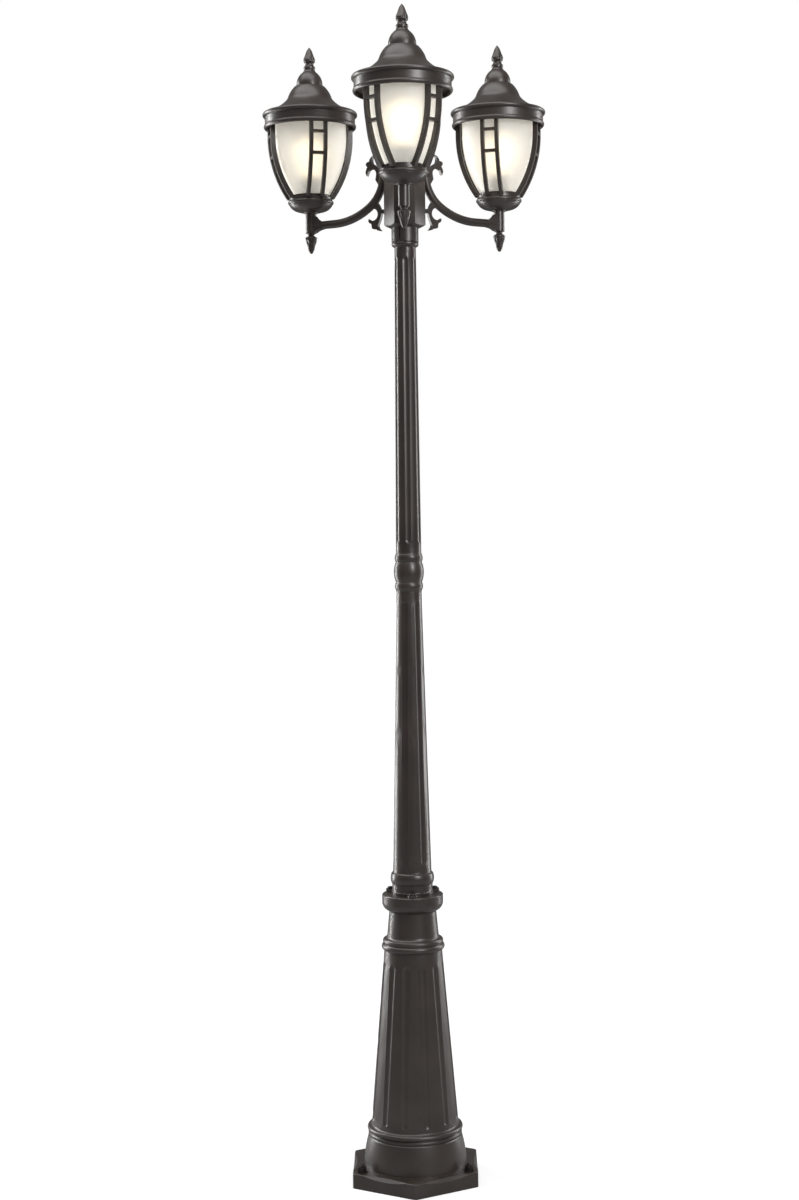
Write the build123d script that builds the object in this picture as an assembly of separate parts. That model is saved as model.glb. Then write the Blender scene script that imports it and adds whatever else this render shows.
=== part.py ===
from build123d import *
import math
import os

os.makedirs("parts", exist_ok=True)

# Triple head lamp post, in millimetres. +Z is up and -Y is the front.
# The origin is on the post's axis, at the plane that the foot rests on.
# Azimuths are in degrees from +X, so 270 faces the front.

# ---- clearances
RUNNING_GAP = 0.3        # between pieces that slip over each other
SCREW_GAP = 0.1          # around a screw in its hole

# ---- pedestal casting
FOOT_CORNER_R = 137.0    # centre to corner of the hexagonal foot
FOOT_HEIGHT = 28.0
FOOT_RIM = 9.0           # wall of the hollow foot
FOOT_DECK = 9.0          # thickness of its deck
FOOT_CHAMFER = 1.2
BEVEL_HALF_LENGTH = 51.0  # stopped bevel along the top of each side
BEVEL_DEPTH = 4.5
CAST_WALL = 6.0
BELL_FOOT_R = 99.0
BELL_TOP_R = 90.0
BELL_HEIGHT = 56.0
BASE_RING_R = 91.5
BASE_RING_HEIGHT = 21.0
SHAFT_FOOT_R = 83.5
SHAFT_TOP_R = 56.2
SHAFT_HEIGHT = 327.0
WAIST_RING_R = 60.7
WAIST_RING_HEIGHT = 34.0
NECK_FOOT_R = 49.5
NECK_TOP_R = 45.3
NECK_HEIGHT = 47.0
COLLAR_R = 58.7
COLLAR_HEIGHT = 31.0
COLLAR_DECK = 14.0       # solid top of the collar, which takes the screws
SHAFT_FLUTES = 12
SHAFT_FLUTE_WIDTH = 15.0
SHAFT_FLUTE_DEPTH = 2.6
SHAFT_FLUTE_AZIMUTH = 256.5

# ---- anchors, M10
ANCHOR_CIRCLE_R = 117.0
ANCHOR_HOLE_R = 5.5
ANCHOR_BOSS_R = 13.0
ANCHOR_AZIMUTHS = (90, 210, 330)
WASHER_R = 10.0
WASHER_THICKNESS = 2.0
NUT_ACROSS_FLATS = 16.0
NUT_HEIGHT = 8.0
NUT_BORE_R = 5.1

# ---- lower post
TUBE_WALL = 4.0
EAR_THICKNESS = 5.0
EAR_R = 9.0              # rounding of each ear about its screw
EAR_CIRCLE_R = 49.5
EAR_AZIMUTHS = (30, 150, 270)
COLLAR_SCREW_R = 3.0
COLLAR_SCREW_HEAD_R = 6.0
COLLAR_SCREW_HEAD_HEIGHT = 4.0
COLLAR_SCREW_LENGTH = 16.0
SPIGOT_LENGTH = 30.0
LOWER_NECK_R = 38.9
LOWER_NECK_HEIGHT = 15.0
LOWER_RING_R = 42.0
LOWER_RING_HEIGHT = 22.0
LOWER_FOOT_R = 36.9
LOWER_TOP_R = 24.2
LOWER_SHAFT_HEIGHT = 537.5
POST_FLUTES = 6
LOWER_FLUTE_WIDTH = 15.0
UPPER_FLUTE_WIDTH = 13.0
POST_FLUTE_DEPTH = 1.9
LOWER_FLUTE_AZIMUTH = 248.0
UPPER_FLUTE_AZIMUTH = 270.0
FLUTE_END_GAP = 16.0     # plain tube left beyond a flute's round end

# ---- ball joint between the tubes
COUPLER_EDGE_R = 24.8
COUPLER_GROOVE_R = 25.3
COUPLER_BEAD_BOW = 2.0
COUPLER_BALL_BOW = 3.6
COUPLER_BEAD_HEIGHT = 20.0
COUPLER_BALL_HEIGHT = 38.0
COUPLER_WALL = 4.0

# ---- upper post
UPPER_FOOT_R = 24.4
UPPER_TOP_R = 20.6
UPPER_SHAFT_HEIGHT = 583.0
TOP_BEAD_R = 26.0
TOP_BEAD_HEIGHT = 12.5
SLEEVE_SPIGOT_HEIGHT = 40.0
SLEEVE_SPIGOT_WALL = 3.5

# ---- hub
SLEEVE_R = 26.0
SLEEVE_HEIGHT = 26.5
SLEEVE_WALL = 6.0
SLIT_WIDTH = 2.0
SLIT_AZIMUTH = 247.0
HUB_ACROSS_FLATS = 69.0
HUB_TAPER = 7.0
HUB_HEIGHT = 121.5
HUB_WALL = 6.5
HUB_FLOOR = 18.0
HUB_CAP_RISE = 12.0
HUB_CAP_RIM = 4.0
HUB_CAP_PLUG = 6.0
GRUB_SCREW_R = 3.0
TERMINAL_SIZE = (28.0, 11.0, 20.0)
TERMINAL_WAY_R = 2.2

# ---- arms
ARM_AZIMUTHS = {"front": 270, "right": 30, "left": 150}
LANTERN_TURNS = {"front": 180, "right": 0, "left": 0}
ARM_REACH = 215.0        # post axis to lantern axis
ARM_R = 8.0
ARM_BORE_R = 4.0
ARM_RISE = 82.0          # the arm's entry to the hub above its level run
ARM_SHOULDER_R = 75.0
ARM_UPRIGHT_R = 46.8     # post axis to the arm's upright end
ARM_SWEEP_R = 140.0
ARM_SWEEP_TURN = 35.0
ARM_TOP_RISE = 10.0      # closed top of the tube above its entry to the hub
ARM_TOP_DROP = 17.0      # centre of the entry below the hub's top
FLANGE_SIZE = (5.0, 24.0, 33.0)
ARM_SCREW_R = 2.5
ARM_SCREW_HEAD_R = 4.3
ARM_SCREW_HEAD_HEIGHT = 3.0
ARM_SCREW_SPREAD = 24.0
SCROLL_THICKNESS = 8.0
STEM_R = 10.5
STEM_ABOVE = 25.0        # stem above and below the arm's level run
STEM_BELOW = 14.4
WEB_REACH = 20.0         # flare that joins the level run to the stem
WEB_THICKNESS = 15.0

# ---- stem hardware, M10 x 1
NIPPLE_R = 4.9
NIPPLE_BORE_R = 3.5
NIPPLE_IN_FINIAL = 12.0
NIPPLE_NUT_FLATS = 14.0
NIPPLE_NUT_HEIGHT = 4.5
DROP_FINIAL_LENGTH = 40.0
DROP_FINIAL_R = 11.8
DROP_NECK_R = 5.9
FINIAL_LEAVES = 6

# ---- cup, cage and glass
CUP_FLOOR = 4.0
CUP_FOOT_R = 13.0
CUP_BOWL_HEIGHT = 17.0
CUP_BRIM_R = 45.0
CUP_BRIM_HEIGHT = 8.0
CUP_RING_R = 38.0
CUP_RING_HEIGHT = 10.0
CUP_RING_WALL = 2.5
CAGE_TOP_R = 82.4        # outside of the ribs where they stand upright
CAGE_HEIGHT = 154.0      # brim of the cup to the top of the cage
CAGE_BEND_DROP = 28.0    # where the ribs start to curve in, below the top
RIB_ARC_R = 218.0
RIB_DEPTH = 9.0
RIB_WIDTH = 7.0
RIB_PAIR_WIDTH = 35.0
RIB_PAIRS = 4
BAR_HEIGHT = 5.5
BAR_DROPS = (30.0, 71.0)  # crossbars' centres below the cage's top
CAGE_RING_HEIGHT = 5.5
GLASS_GAP = 2.0          # glass to ribs
GLASS_WALL = 2.5
GLASS_TOP_DROP = 4.0     # glass edge below the cage's top
GLASS_FOOT_R = 34.6
SEAL_HEIGHT = 3.0

# ---- lamp, E27 and 60 mm globe
HOLDER_R = 20.0
HOLDER_LENGTH = 58.0
HOLDER_LIFT = 4.0        # holder above the nut
LAMP_CAP_R = 13.0
LAMP_CAP_LENGTH = 27.0
LAMP_LENGTH = 107.0
GLOBE_R = 30.0
GLOBE_WALL = 1.2

# ---- roof
ROOF_BAND_R = 89.2
ROOF_LOW_BEAD_BOW = 2.5
ROOF_HIGH_BEAD_BOW = 4.0
ROOF_SKIRT = 12.5        # roof rim below the cage's top
ROOF_HEIGHT = 112.5
ROOF_WALL = 3.0
ROOF_FLARE_R = 50.0
ROOF_SHOULDER_R = 43.7
ROOF_NECK_R = 29.8
ROOF_DOME_R = 25.8
ROOF_CROWN_R = 14.0
ROOF_LEDGE_R = 79.0
ROOF_SCREW_CIRCLE_R = 53.5
ROOF_SCREW_SEAT = 54.5   # flat under the knob, above the rim
ROOF_SCREW_R = 2.0
ROOF_SCREW_HEAD_R = 3.2
ROOF_SCREW_HEAD_HEIGHT = 6.5
SPEAR_HEIGHT = 50.0
SPEAR_R = 11.4
STUD_R = 2.9
STUD_LENGTH = 10.0
FINIAL_NUT_HEIGHT = 4.5
FINIAL_NUT_FLATS = 10.0

# ---- heights above the foot's rest plane, worked out from the sizes above
BELL_TOP_Z = FOOT_HEIGHT + BELL_HEIGHT
SHAFT_FOOT_Z = BELL_TOP_Z + BASE_RING_HEIGHT
SHAFT_TOP_Z = SHAFT_FOOT_Z + SHAFT_HEIGHT
NECK_FOOT_Z = SHAFT_TOP_Z + WAIST_RING_HEIGHT
NECK_TOP_Z = NECK_FOOT_Z + NECK_HEIGHT
COLLAR_TOP_Z = NECK_TOP_Z + COLLAR_HEIGHT
EAR_TOP_Z = COLLAR_TOP_Z + EAR_THICKNESS
LOWER_RING_Z = EAR_TOP_Z + LOWER_NECK_HEIGHT
LOWER_SHAFT_Z = LOWER_RING_Z + LOWER_RING_HEIGHT
LOWER_TOP_Z = LOWER_SHAFT_Z + LOWER_SHAFT_HEIGHT
COUPLER_TOP_Z = LOWER_TOP_Z + 2 * COUPLER_BEAD_HEIGHT + COUPLER_BALL_HEIGHT
TOP_BEAD_Z = COUPLER_TOP_Z + UPPER_SHAFT_HEIGHT
SLEEVE_Z = TOP_BEAD_Z + TOP_BEAD_HEIGHT
HUB_Z = SLEEVE_Z + SLEEVE_HEIGHT
HUB_TOP_Z = HUB_Z + HUB_HEIGHT
ARM_END_Z = HUB_TOP_Z - ARM_TOP_DROP
ARM_RUN_Z = ARM_END_Z - ARM_RISE
STEM_TOP_Z = ARM_RUN_Z + STEM_ABOVE
STEM_FOOT_Z = ARM_RUN_Z - STEM_BELOW
BRIM_Z = STEM_TOP_Z + CUP_BOWL_HEIGHT
BRIM_TOP_Z = BRIM_Z + CUP_BRIM_HEIGHT
CAGE_TOP_Z = BRIM_TOP_Z + CAGE_HEIGHT
CAGE_BEND_Z = CAGE_TOP_Z - CAGE_BEND_DROP
CUP_FLOOR_Z = STEM_TOP_Z + CUP_FLOOR
HOLDER_Z = CUP_FLOOR_Z + NIPPLE_NUT_HEIGHT + HOLDER_LIFT
HOLDER_TOP_Z = HOLDER_Z + HOLDER_LENGTH
LAMP_Z = HOLDER_TOP_Z - LAMP_CAP_LENGTH + 2
ROOF_RIM_Z = CAGE_TOP_Z - ROOF_SKIRT
ROOF_TOP_Z = ROOF_RIM_Z + ROOF_HEIGHT
CROWN_SEAT_Z = ROOF_TOP_Z - ROOF_WALL - 0.5

# ---- radii that follow from the sizes above
HUB_FLAT_R = HUB_ACROSS_FLATS / 2
HUB_CORNER_R = HUB_FLAT_R / math.cos(math.radians(30))
FOOT_FLAT_R = FOOT_CORNER_R * math.cos(math.radians(30))
SPIGOT_R = SLEEVE_R - SLEEVE_WALL - RUNNING_GAP
RIB_ARC_CENTRE_R = CAGE_TOP_R - RIB_ARC_R


# ---- helpers

def face_xz(*steps):
    """Closed face in the X-Z plane.

    A step (x, z) draws a straight edge to that point. A step (x, z, bow) draws
    an arc that bulges by bow to the right of its direction of travel.
    """
    edges = []
    start = steps[-1][:2]
    for x, z, *bow in steps:
        length = math.hypot(x - start[0], z - start[1])
        if bow:
            across = ((z - start[1]) / length, (start[0] - x) / length)
            middle = ((start[0] + x) / 2 + bow[0] * across[0],
                      (start[1] + z) / 2 + bow[0] * across[1])
            edges.append(ThreePointArc(start, middle, (x, z)))
        else:
            edges.append(Line(start, (x, z)))
        start = (x, z)
    return Plane.XZ * make_face(edges)


def turned(*steps):
    """Solid of revolution about +Z of a closed outline of (radius, height) steps."""
    return revolve(face_xz(*steps), Axis.Z)


def around(azimuth, shape, radius=0.0, height=0.0):
    """The shape moved out along +X and up, then turned to its azimuth about +Z."""
    return Rot(0, 0, azimuth) * Pos(radius, 0, height) * shape


def rod(radius, low, high):
    """Upright cylinder on the axis between two heights."""
    return Pos(0, 0, (low + high) / 2) * Cylinder(radius, high - low)


def hexagon(flat_r, low, high, turn=0.0):
    """Upright hexagonal prism, with a corner at the azimuth turn."""
    outline = RegularPolygon(flat_r, 6, major_radius=False, rotation=turn)
    return Pos(0, 0, low) * extrude(outline, high - low)


def flutes(count, first_azimuth, foot, top, width, depth):
    """Round-ended grooves for a tapered shaft, between (radius, height) foot and top.

    Each groove is a capsule laid along the slope, sunk so that it is width wide
    and depth deep.
    """
    groove_r = (width ** 2 / 4 + depth ** 2) / (2 * depth)
    lift = groove_r - depth
    low = Vector(foot[0] + lift, 0, foot[1] + width / 2)
    high = Vector(top[0] + lift, 0, top[1] - width / 2)
    half = (high - low).length / 2
    end_bow = groove_r * (1 - math.cos(math.radians(45)))
    capsule = turned(
        (groove_r, half),
        (0, half + groove_r, end_bow),
        (0, -half - groove_r),
        (groove_r, -half, end_bow),
    )
    along = Plane(origin=(low + high) / 2, x_dir=(0, 1, 0), z_dir=high - low)
    groove = along * capsule
    return [Rot(0, 0, first_azimuth + 360 / count * i) * groove for i in range(count)]


def write(name, *solids):
    """One named sub-part; separate identical pieces share it."""
    shape = solids[0] if len(solids) == 1 else Compound(children=list(solids))
    shape.label = name
    export_step(shape, f"parts/{name}.step")


# ---- pedestal and anchors

def base_casting():
    shell = turned(
        (0, 0),
        (BELL_FOOT_R, 0),
        (BELL_FOOT_R, FOOT_HEIGHT),
        (BELL_TOP_R, BELL_TOP_Z - 2, 1.5),
        (BELL_TOP_R - 2, BELL_TOP_Z),
        (BELL_TOP_R - 2, BELL_TOP_Z + 7, 2.0),
        (SHAFT_FOOT_R + 4, BELL_TOP_Z + 8),
        (SHAFT_FOOT_R + 4, SHAFT_FOOT_Z - 3, BASE_RING_R - SHAFT_FOOT_R - 4),
        (SHAFT_FOOT_R, SHAFT_FOOT_Z, -0.6),
        (SHAFT_TOP_R, SHAFT_TOP_Z),
        (SHAFT_TOP_R - 0.5, SHAFT_TOP_Z + 5),
        (WAIST_RING_R - 2.4, SHAFT_TOP_Z + 6.5),
        (WAIST_RING_R - 2.4, SHAFT_TOP_Z + 17, 2.4),
        (WAIST_RING_R - 4.0, SHAFT_TOP_Z + 18),
        (WAIST_RING_R - 5.0, SHAFT_TOP_Z + 27, 2.0),
        (NECK_FOOT_R, NECK_FOOT_Z, -1.5),
        (NECK_TOP_R, NECK_TOP_Z - 2),
        (NECK_TOP_R + 2.5, NECK_TOP_Z),
        (COLLAR_R, NECK_TOP_Z + 14, 2.5),
        (COLLAR_R, COLLAR_TOP_Z - 1.5),
        (COLLAR_R - 1.5, COLLAR_TOP_Z),
        (0, COLLAR_TOP_Z),
    )
    foot = hexagon(FOOT_FLAT_R, 0, FOOT_HEIGHT, turn=30)
    foot = fillet(foot.edges().filter_by(Axis.Z), 6)
    foot = chamfer(foot.faces().sort_by(Axis.Z)[-1].edges(), FOOT_CHAMFER)
    scoop_r = (BEVEL_HALF_LENGTH ** 2 + BEVEL_DEPTH ** 2) / (2 * BEVEL_DEPTH)
    set_out = (scoop_r - BEVEL_DEPTH) / math.sqrt(2)
    scoop = Plane(
        origin=(FOOT_FLAT_R + set_out, 0, FOOT_HEIGHT + set_out), z_dir=(1, 0, -1),
    ) * Cylinder(scoop_r, 4 * BEVEL_DEPTH)
    foot -= [Rot(0, 0, 60 * side) * scoop for side in range(6)]
    casting = foot + shell

    inside = turned(
        (0, -1),
        (BELL_FOOT_R - CAST_WALL, -1),
        (BELL_FOOT_R - CAST_WALL, FOOT_HEIGHT),
        (BELL_TOP_R - CAST_WALL - 1.5, BELL_TOP_Z),
        (SHAFT_FOOT_R - CAST_WALL, SHAFT_FOOT_Z),
        (SHAFT_TOP_R - CAST_WALL, SHAFT_TOP_Z),
        (NECK_FOOT_R - CAST_WALL, NECK_FOOT_Z),
        (NECK_TOP_R - CAST_WALL, COLLAR_TOP_Z - COLLAR_DECK),
        (0, COLLAR_TOP_Z - COLLAR_DECK),
    )
    pocket = hexagon(FOOT_FLAT_R - FOOT_RIM, -1, FOOT_HEIGHT - FOOT_DECK, turn=30)
    for azimuth in ANCHOR_AZIMUTHS:
        pocket -= around(azimuth, rod(ANCHOR_BOSS_R, -2, FOOT_HEIGHT), ANCHOR_CIRCLE_R)
    casting -= inside + pocket
    casting -= rod(spigot_bore_r(), COLLAR_TOP_Z - COLLAR_DECK - 1, COLLAR_TOP_Z + 1)
    for azimuth in ANCHOR_AZIMUTHS:
        casting -= around(azimuth, rod(ANCHOR_HOLE_R, -1, FOOT_HEIGHT + 1), ANCHOR_CIRCLE_R)
    depth = COLLAR_SCREW_LENGTH - EAR_THICKNESS + 1
    for azimuth in EAR_AZIMUTHS:
        hole = rod(COLLAR_SCREW_R + SCREW_GAP, COLLAR_TOP_Z - depth, COLLAR_TOP_Z + 1)
        casting -= around(azimuth, hole, EAR_CIRCLE_R)
    slope = (SHAFT_FOOT_R - SHAFT_TOP_R) / SHAFT_HEIGHT
    low = FLUTE_END_GAP / 2
    high = SHAFT_HEIGHT - FLUTE_END_GAP
    casting -= flutes(
        SHAFT_FLUTES, SHAFT_FLUTE_AZIMUTH,
        (SHAFT_FOOT_R - slope * low, SHAFT_FOOT_Z + low),
        (SHAFT_FOOT_R - slope * high, SHAFT_FOOT_Z + high),
        SHAFT_FLUTE_WIDTH, SHAFT_FLUTE_DEPTH,
    )
    return casting


def spigot_bore_r():
    """Bore in the collar that takes the lower post's spigot."""
    return LOWER_FOOT_R - TUBE_WALL


def anchor_washer(azimuth):
    ring = rod(WASHER_R, FOOT_HEIGHT, FOOT_HEIGHT + WASHER_THICKNESS)
    ring -= rod(ANCHOR_HOLE_R, FOOT_HEIGHT - 1, FOOT_HEIGHT + WASHER_THICKNESS + 1)
    return around(azimuth, ring, ANCHOR_CIRCLE_R)


def anchor_nut(azimuth):
    low = FOOT_HEIGHT + WASHER_THICKNESS
    nut = hexagon(NUT_ACROSS_FLATS / 2, low, low + NUT_HEIGHT)
    nut = nut & turned(
        (0, low),
        (NUT_ACROSS_FLATS / 2 + 1.3, low),
        (NUT_ACROSS_FLATS / 2 + 1.3, low + NUT_HEIGHT - 1),
        (NUT_ACROSS_FLATS / 2, low + NUT_HEIGHT),
        (0, low + NUT_HEIGHT),
    )
    nut -= rod(NUT_BORE_R, low - 1, low + NUT_HEIGHT + 1)
    return around(azimuth, nut, ANCHOR_CIRCLE_R)


# ---- post

def lower_post():
    bore_foot = LOWER_FOOT_R - TUBE_WALL - RUNNING_GAP - TUBE_WALL
    tube = turned(
        (0, COLLAR_TOP_Z - COLLAR_DECK),
        (spigot_bore_r() - RUNNING_GAP, COLLAR_TOP_Z - COLLAR_DECK),
        (spigot_bore_r() - RUNNING_GAP, COLLAR_TOP_Z),
        (LOWER_NECK_R + 1.5, COLLAR_TOP_Z),
        (LOWER_NECK_R + 1.5, EAR_TOP_Z),
        (LOWER_NECK_R, EAR_TOP_Z + 2, -0.5),
        (LOWER_NECK_R, LOWER_RING_Z),
        (LOWER_RING_R - 2, LOWER_RING_Z + 1),
        (LOWER_RING_R - 2, LOWER_SHAFT_Z - 2, 2.0),
        (LOWER_FOOT_R + 0.6, LOWER_SHAFT_Z),
        (LOWER_FOOT_R, LOWER_SHAFT_Z + 3),
        (LOWER_TOP_R, LOWER_TOP_Z),
        (0, LOWER_TOP_Z),
    )
    for azimuth in EAR_AZIMUTHS:
        ear = Pos(0, 0, COLLAR_TOP_Z) * extrude(
            make_hull(Circle(EAR_R).edges() + (Pos(-EAR_CIRCLE_R + EAR_R * 2, 0)
                                               * Circle(EAR_R * 1.6)).edges()),
            EAR_THICKNESS)
        tube += around(azimuth, ear, EAR_CIRCLE_R)
    tube -= turned(
        (0, COLLAR_TOP_Z - COLLAR_DECK - 1),
        (bore_foot, COLLAR_TOP_Z - COLLAR_DECK - 1),
        (bore_foot, LOWER_SHAFT_Z),
        (LOWER_TOP_R - TUBE_WALL, LOWER_TOP_Z - SPIGOT_LENGTH),
        (LOWER_TOP_R - TUBE_WALL, LOWER_TOP_Z + 1),
        (0, LOWER_TOP_Z + 1),
    )
    hole = rod(COLLAR_SCREW_R + SCREW_GAP, COLLAR_TOP_Z - 1, EAR_TOP_Z + 1)
    for azimuth in EAR_AZIMUTHS:
        tube -= around(azimuth, hole, EAR_CIRCLE_R)
    tube -= shaft_flutes(
        LOWER_FLUTE_AZIMUTH, LOWER_FLUTE_WIDTH,
        (LOWER_FOOT_R, LOWER_SHAFT_Z), (LOWER_TOP_R, LOWER_TOP_Z))
    return tube


def shaft_flutes(first_azimuth, width, foot, top):
    """Flutes that stop short of both ends of a tapered tube."""
    slope = (top[0] - foot[0]) / (top[1] - foot[1])
    low = foot[1] + FLUTE_END_GAP
    high = top[1] - FLUTE_END_GAP
    return flutes(
        POST_FLUTES, first_azimuth,
        (foot[0] + slope * (low - foot[1]), low),
        (foot[0] + slope * (high - foot[1]), high),
        width, POST_FLUTE_DEPTH)


def collar_screw(azimuth):
    tip = EAR_TOP_Z - COLLAR_SCREW_LENGTH
    head_top = EAR_TOP_Z + COLLAR_SCREW_HEAD_HEIGHT
    screw = turned(
        (0, tip),
        (COLLAR_SCREW_R, tip),
        (COLLAR_SCREW_R, EAR_TOP_Z),
        (COLLAR_SCREW_HEAD_R, EAR_TOP_Z),
        (COLLAR_SCREW_HEAD_R, EAR_TOP_Z + 1.5),
        (COLLAR_SCREW_HEAD_R / 2, head_top, 0.8),
        (0, head_top),
    )
    return around(azimuth, screw, EAR_CIRCLE_R)


def mid_coupler():
    low_bead = LOWER_TOP_Z + 4
    ball = LOWER_TOP_Z + COUPLER_BEAD_HEIGHT
    high_bead = ball + COUPLER_BALL_HEIGHT
    spigot_r = LOWER_TOP_R - TUBE_WALL - SCREW_GAP
    upper_spigot_r = UPPER_FOOT_R - TUBE_WALL - SCREW_GAP
    body = turned(
        (0, LOWER_TOP_Z - SPIGOT_LENGTH),
        (spigot_r, LOWER_TOP_Z - SPIGOT_LENGTH),
        (spigot_r, LOWER_TOP_Z),
        (COUPLER_EDGE_R - 0.4, LOWER_TOP_Z),
        (COUPLER_EDGE_R, low_bead - 1, -0.3),
        (COUPLER_GROOVE_R - 0.5, low_bead),
        (COUPLER_GROOVE_R, ball - 1, COUPLER_BEAD_BOW),
        (COUPLER_GROOVE_R, ball),
        (COUPLER_GROOVE_R, high_bead, COUPLER_BALL_BOW),
        (COUPLER_GROOVE_R, high_bead + 1),
        (COUPLER_GROOVE_R - 0.5, COUPLER_TOP_Z - 4, COUPLER_BEAD_BOW),
        (COUPLER_EDGE_R, COUPLER_TOP_Z - 3),
        (COUPLER_EDGE_R - 0.2, COUPLER_TOP_Z, -0.3),
        (upper_spigot_r, COUPLER_TOP_Z),
        (upper_spigot_r, COUPLER_TOP_Z + SPIGOT_LENGTH),
        (0, COUPLER_TOP_Z + SPIGOT_LENGTH),
    )
    bore_r = min(spigot_r, upper_spigot_r) - COUPLER_WALL
    return body - rod(bore_r, LOWER_TOP_Z - SPIGOT_LENGTH - 1, COUPLER_TOP_Z + SPIGOT_LENGTH + 1)


def upper_post():
    spigot_top = SLEEVE_Z + SLEEVE_SPIGOT_HEIGHT
    spigot_bore = SPIGOT_R - SLEEVE_SPIGOT_WALL
    tube = turned(
        (0, COUPLER_TOP_Z),
        (UPPER_FOOT_R, COUPLER_TOP_Z),
        (UPPER_TOP_R, TOP_BEAD_Z),
        (TOP_BEAD_R - 3, TOP_BEAD_Z + 3.5, -1.2),
        (TOP_BEAD_R - 0.5, SLEEVE_Z - 1.5, 1.6),
        (TOP_BEAD_R - 2, SLEEVE_Z),
        (SPIGOT_R, SLEEVE_Z),
        (SPIGOT_R, spigot_top),
        (0, spigot_top),
    )
    tube -= turned(
        (0, COUPLER_TOP_Z - 1),
        (UPPER_FOOT_R - TUBE_WALL, COUPLER_TOP_Z - 1),
        (UPPER_FOOT_R - TUBE_WALL, COUPLER_TOP_Z + SPIGOT_LENGTH),
        (spigot_bore, TOP_BEAD_Z),
        (spigot_bore, spigot_top + 1),
        (0, spigot_top + 1),
    )
    tube -= shaft_flutes(
        UPPER_FLUTE_AZIMUTH, UPPER_FLUTE_WIDTH,
        (UPPER_FOOT_R, COUPLER_TOP_Z), (UPPER_TOP_R, TOP_BEAD_Z))
    return tube


# ---- hub

def arm_hub():
    prism = hexagon(HUB_FLAT_R, HUB_Z, HUB_TOP_Z)
    prism = prism & turned(
        (0, HUB_Z),
        (SLEEVE_R, HUB_Z),
        (HUB_CORNER_R + 1, HUB_Z + HUB_TAPER),
        (HUB_CORNER_R + 1, HUB_TOP_Z),
        (0, HUB_TOP_Z),
    )
    hub = prism + rod(SLEEVE_R, SLEEVE_Z, HUB_Z)
    hub -= hexagon(HUB_FLAT_R - HUB_WALL, HUB_Z + HUB_FLOOR, HUB_TOP_Z + 1)
    hub -= rod(SLEEVE_R - SLEEVE_WALL, SLEEVE_Z - 1, HUB_Z + HUB_FLOOR + 1)
    slit = Box(2 * SLEEVE_WALL + 4, SLIT_WIDTH, SLEEVE_HEIGHT + 2)
    hub -= around(SLIT_AZIMUTH, slit, SLEEVE_R, SLEEVE_Z + SLEEVE_HEIGHT / 2 - 1)
    grub = Rot(0, 90, 0) * Cylinder(GRUB_SCREW_R + SCREW_GAP, 2 * SLEEVE_WALL)
    hub -= around(90, grub, SLEEVE_R - 2, SLEEVE_Z + SLEEVE_HEIGHT / 2)
    wire_way = Rot(0, 90, 0) * Cylinder(ARM_BORE_R, 3 * HUB_WALL)
    for azimuth in ARM_AZIMUTHS.values():
        hub -= around(azimuth, wire_way, HUB_FLAT_R, ARM_END_Z)
        for height in arm_screw_heights():
            hole = Rot(0, 90, 0) * Cylinder(ARM_SCREW_R + SCREW_GAP, 3 * HUB_WALL)
            hub -= around(azimuth, hole, HUB_FLAT_R, height)
    return hub


def arm_screw_heights():
    return (ARM_END_Z - ARM_SCREW_SPREAD / 2, ARM_END_Z + ARM_SCREW_SPREAD / 2)


def hub_grub_screw():
    inner = SPIGOT_R + 0.05
    length = SLEEVE_R - inner - 0.5
    screw = Rot(0, 90, 0) * Cylinder(GRUB_SCREW_R, length)
    screw -= Pos(length / 2, 0, 0) * Rot(0, 90, 0) * extrude(
        RegularPolygon(1.5, 6, major_radius=False), 2, both=True)
    return around(90, screw, inner + length / 2, SLEEVE_Z + SLEEVE_HEIGHT / 2)


def hub_cap():
    rim_top = HUB_TOP_Z + HUB_CAP_RIM
    cap = hexagon(HUB_FLAT_R + 1, HUB_TOP_Z, HUB_TOP_Z + HUB_CAP_RISE)
    cap = cap & turned(
        (0, HUB_TOP_Z),
        (HUB_CORNER_R + 2, HUB_TOP_Z),
        (HUB_CORNER_R + 2, rim_top - 1),
        (HUB_FLAT_R, rim_top),
        (10, HUB_TOP_Z + HUB_CAP_RISE - 1, -1.5),
        (0, HUB_TOP_Z + HUB_CAP_RISE, 0.3),
    )
    plug_r = HUB_FLAT_R - HUB_WALL - RUNNING_GAP
    plug = hexagon(plug_r, HUB_TOP_Z - HUB_CAP_PLUG, HUB_TOP_Z)
    plug -= hexagon(plug_r - 2.5, HUB_TOP_Z - HUB_CAP_PLUG - 1, HUB_TOP_Z - 0.5)
    for azimuth in ARM_AZIMUTHS.values():
        room = Box(2 * ARM_SCREW_HEAD_HEIGHT + 6, FLANGE_SIZE[1], 2 * HUB_CAP_PLUG)
        plug -= around(azimuth, room, plug_r, HUB_TOP_Z - HUB_CAP_PLUG)
    return cap + plug


def terminal_block():
    width, depth, height = TERMINAL_SIZE
    block = Box(depth, width, height)
    for i in (-1, 0, 1):
        block -= Pos(0, i * width / 3.2, 0) * Cylinder(TERMINAL_WAY_R, height + 2)
    flat = HUB_FLAT_R - HUB_WALL
    return around(90, block, flat - depth / 2, HUB_Z + HUB_FLOOR + 30)


def arm_screws():
    """Six screws from inside the hub, through its wall into the arms' flanges."""
    seat = HUB_FLAT_R - HUB_WALL
    shank = HUB_WALL + FLANGE_SIZE[0] - 1
    screw = Pos(seat - ARM_SCREW_HEAD_HEIGHT / 2, 0, 0) * Rot(0, 90, 0) * Cylinder(
        ARM_SCREW_HEAD_R, ARM_SCREW_HEAD_HEIGHT)
    screw += Pos(seat + shank / 2, 0, 0) * Rot(0, 90, 0) * Cylinder(ARM_SCREW_R, shank)
    return [around(azimuth, screw, 0, height)
            for azimuth in ARM_AZIMUTHS.values() for height in arm_screw_heights()]


# ---- arm: a bent tube with two scrolls, drawn in its own plane, reach along +X

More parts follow.
